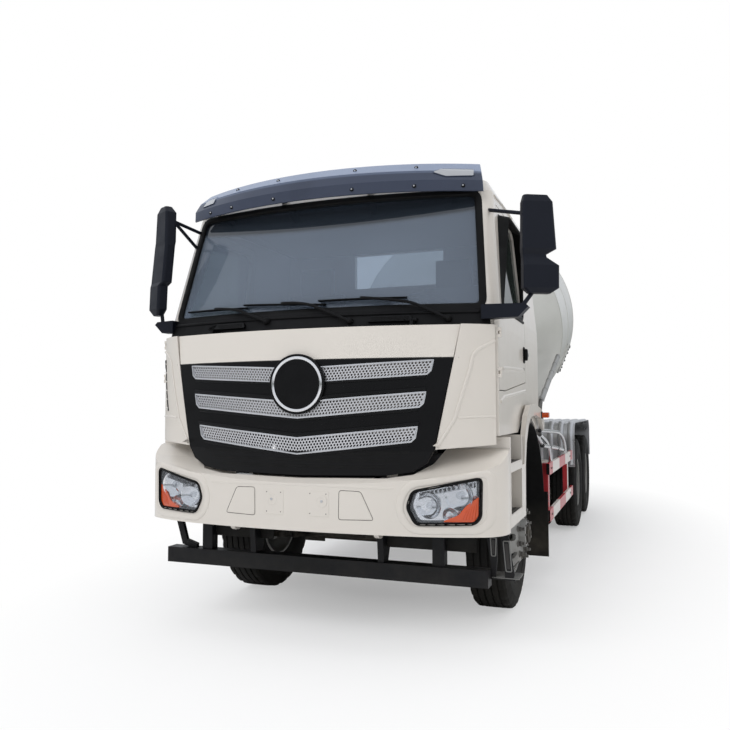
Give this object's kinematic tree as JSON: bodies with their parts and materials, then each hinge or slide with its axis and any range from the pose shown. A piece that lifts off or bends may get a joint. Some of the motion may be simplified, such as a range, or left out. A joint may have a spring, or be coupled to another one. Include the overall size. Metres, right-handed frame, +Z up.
{
  "type": "concrete mixer truck",
  "caption": "Concrete mixer truck with a tilting cab, opening doors, steered front wheels, turning drum, charge hopper and swinging, tilting and folding discharge chute.",
  "frame": {"origin": "on the ground below the middle of the truck's overall length, midway between its left and right wheels; the left mirror stands out further than the right one, so this is not the middle of the overall width", "axes": "+X to the truck's left, +Y to its rear, +Z up; the truck faces -Y"},
  "size_m": [2.8777, 9.15, 3.8798],
  "materials": {
    "ivory_paint": "gloss",
    "drum_paint": "gloss",
    "black_plastic": "satin",
    "window_glass": "clear",
    "visor_plastic": "smoked",
    "lamp_glass": "clear",
    "mesh_metal": "satin",
    "mirror_plastic": "satin",
    "chassis_paint": "satin",
    "bar_paint": "satin",
    "running_gear": "painted",
    "tyre_rubber": "matte",
    "rim_paint": "satin",
    "guard_paint": "gloss",
    "tank_metal": "satin",
    "fender_metal": "brushed",
    "flap_rubber": "matte",
    "mixer_paint": "gloss",
    "jack_metal": "satin",
    "rod_chrome": "polished",
    "roller_steel": "machined",
    "seat_fabric": "woven"
  },
  "bodies": {
    "chassis": {"frame_rails": "chassis_paint", "front_bumper": "ivory_paint", "headlamps": "lamp_glass", "underrun_bar": "bar_paint", "front_axle": "running_gear", "rear_axles": "running_gear", "powertrain": "running_gear", "chassis_tanks": "tank_metal", "side_guards": "guard_paint", "front_fenders": "ivory_paint", "mudflaps": "flap_rubber", "rear_fenders": "fender_metal", "rear_bumper": "chassis_paint", "mixer_frame": "mixer_paint", "hopper": "mixer_paint", "ladder": "mixer_paint", "chute_bracket": "mixer_paint", "tow_jaw": "chassis_paint"},
    "cab": {"cab_shell": "ivory_paint", "cab_glass": "window_glass", "cab_interior": "seat_fabric", "sun_visor": "visor_plastic", "cowl": "black_plastic", "corner_panels": "ivory_paint", "mirror_left": "mirror_plastic", "mirror_right": "mirror_plastic"},
    "lid": {"front_lid": "ivory_paint", "grille_surround": "black_plastic", "grille_strips": "mesh_metal"},
    "door_left": {"door_left": "ivory_paint", "door_glass_left": "window_glass"},
    "door_right": {"door_right": "ivory_paint", "door_glass_right": "window_glass"},
    "knuckle_left": {"knuckle_left": "running_gear"},
    "knuckle_right": {"knuckle_right": "running_gear"},
    "tie_rod": {"tie_rod": "running_gear"},
    "wheel_front_left": {"tyre_front_left": "tyre_rubber", "rim_front_left": "rim_paint"},
    "wheel_front_right": {"tyre_front_right": "tyre_rubber", "rim_front_right": "rim_paint"},
    "wheel_mid_left": {"tyre_mid_left": "tyre_rubber", "rim_mid_left": "rim_paint"},
    "wheel_mid_right": {"tyre_mid_right": "tyre_rubber", "rim_mid_right": "rim_paint"},
    "wheel_rear_left": {"tyre_rear_left": "tyre_rubber", "rim_rear_left": "rim_paint"},
    "wheel_rear_right": {"tyre_rear_right": "tyre_rubber", "rim_rear_right": "rim_paint"},
    "drum": {"drum": "drum_paint"},
    "roller_left": {"roller_left": "roller_steel"},
    "roller_right": {"roller_right": "roller_steel"},
    "chute_swivel": {"chute_swivel": "mixer_paint"},
    "chute": {"chute": "mixer_paint"},
    "chute_fold": {"chute_fold": "mixer_paint"},
    "jack_barrel": {"jack_barrel": "jack_metal"},
    "jack_rod": {"jack_rod": "rod_chrome"}
  },
  "joints": [
    {"name": "cab_tilt", "type": "hinge", "parent": "chassis", "child": "cab", "pos_m": [0, -4.435, 0.74], "axis": [1, 0, 0], "range_deg": [0, 45]},
    {"name": "lid_hinge", "type": "hinge", "parent": "cab", "child": "lid", "pos_m": [0, -4.415, 1.99], "axis": [-1, 0, 0], "range_deg": [0, 75]},
    {"name": "door_left_hinge", "type": "hinge", "parent": "cab", "child": "door_left", "pos_m": [1.202, -4.242, 1.8], "axis": [0, 0, -1], "range_deg": [0, 70]},
    {"name": "door_right_hinge", "type": "hinge", "parent": "cab", "child": "door_right", "pos_m": [-1.202, -4.242, 1.8], "axis": [0, 0, 1], "range_deg": [0, 70]},
    {"name": "steer_left", "type": "hinge", "parent": "chassis", "child": "knuckle_left", "pos_m": [0.83, -3.125, 0.54], "axis": [0, 0, 1], "range_deg": [-32, 32]},
    {"name": "steer_right", "type": "hinge", "parent": "chassis", "child": "knuckle_right", "pos_m": [-0.83, -3.125, 0.54], "axis": [0, 0, 1], "range_deg": [-32, 32]},
    {"name": "tie_rod_slide", "type": "slide", "parent": "chassis", "child": "tie_rod", "axis": [1, 0, 0], "range_m": [-0.09, 0.09]},
    {"name": "wheel_front_left_spin", "type": "hinge", "parent": "knuckle_left", "child": "wheel_front_left", "pos_m": [0.966, -3.125, 0.54], "axis": [1, 0, 0], "continuous": true},
    {"name": "wheel_front_right_spin", "type": "hinge", "parent": "knuckle_right", "child": "wheel_front_right", "pos_m": [-0.966, -3.125, 0.54], "axis": [1, 0, 0], "continuous": true},
    {"name": "wheel_mid_left_spin", "type": "hinge", "parent": "chassis", "child": "wheel_mid_left", "pos_m": [0.92, 0.875, 0.54], "axis": [1, 0, 0], "continuous": true},
    {"name": "wheel_mid_right_spin", "type": "hinge", "parent": "chassis", "child": "wheel_mid_right", "pos_m": [-0.92, 0.875, 0.54], "axis": [1, 0, 0], "continuous": true},
    {"name": "wheel_rear_left_spin", "type": "hinge", "parent": "chassis", "child": "wheel_rear_left", "pos_m": [0.92, 2.225, 0.54], "axis": [1, 0, 0], "continuous": true},
    {"name": "wheel_rear_right_spin", "type": "hinge", "parent": "chassis", "child": "wheel_rear_right", "pos_m": [-0.92, 2.225, 0.54], "axis": [1, 0, 0], "continuous": true},
    {"name": "drum_spin", "type": "hinge", "parent": "chassis", "child": "drum", "pos_m": [0, 0.575, 2.53], "axis": [0, 0.9781, 0.2079], "continuous": true},
    {"name": "roller_left_spin", "type": "hinge", "parent": "chassis", "child": "roller_left", "pos_m": [0.59384, 2.71101, 2.14841], "axis": [0, 0.9781, 0.2079], "continuous": true},
    {"name": "roller_right_spin", "type": "hinge", "parent": "chassis", "child": "roller_right", "pos_m": [-0.59384, 2.71101, 2.14841], "axis": [0, 0.9781, 0.2079], "continuous": true},
    {"name": "chute_swing", "type": "hinge", "parent": "chassis", "child": "chute_swivel", "pos_m": [0, 3.555, 1.2], "axis": [0, 0, 1], "range_deg": [-80, 80]},
    {"name": "chute_tilt", "type": "hinge", "parent": "chute_swivel", "child": "chute", "pos_m": [0, 3.605, 1.85], "axis": [1, 0, 0], "range_deg": [-12, 12]},
    {"name": "chute_fold_hinge", "type": "hinge", "parent": "chute", "child": "chute_fold", "pos_m": [0, 4.55348, 1.76018], "axis": [-1, 0, 0], "range_deg": [0, 175]},
    {"name": "jack_pivot", "type": "hinge", "parent": "chute_swivel", "child": "jack_barrel", "pos_m": [0, 3.685, 1.33], "axis": [1, 0, 0], "range_deg": [-6, 6]},
    {"name": "jack_slide", "type": "slide", "parent": "jack_barrel", "child": "jack_rod", "axis": [0, 0.7308, 0.6825], "range_m": [-0.1, 0.1]}
  ],
  "couplings": [
    {"joint": "steer_right", "follows": "steer_left", "ratio": 1},
    {"joint": "tie_rod_slide", "follows": "steer_left", "m_per_rad": -0.15},
    {"joint": "roller_left_spin", "follows": "drum_spin", "ratio": -6.7692},
    {"joint": "roller_right_spin", "follows": "drum_spin", "ratio": -6.7692},
    {"joint": "jack_pivot", "follows": "chute_tilt", "ratio": 0.406},
    {"joint": "jack_slide", "follows": "chute_tilt", "m_per_rad": 0.432}
  ]
}
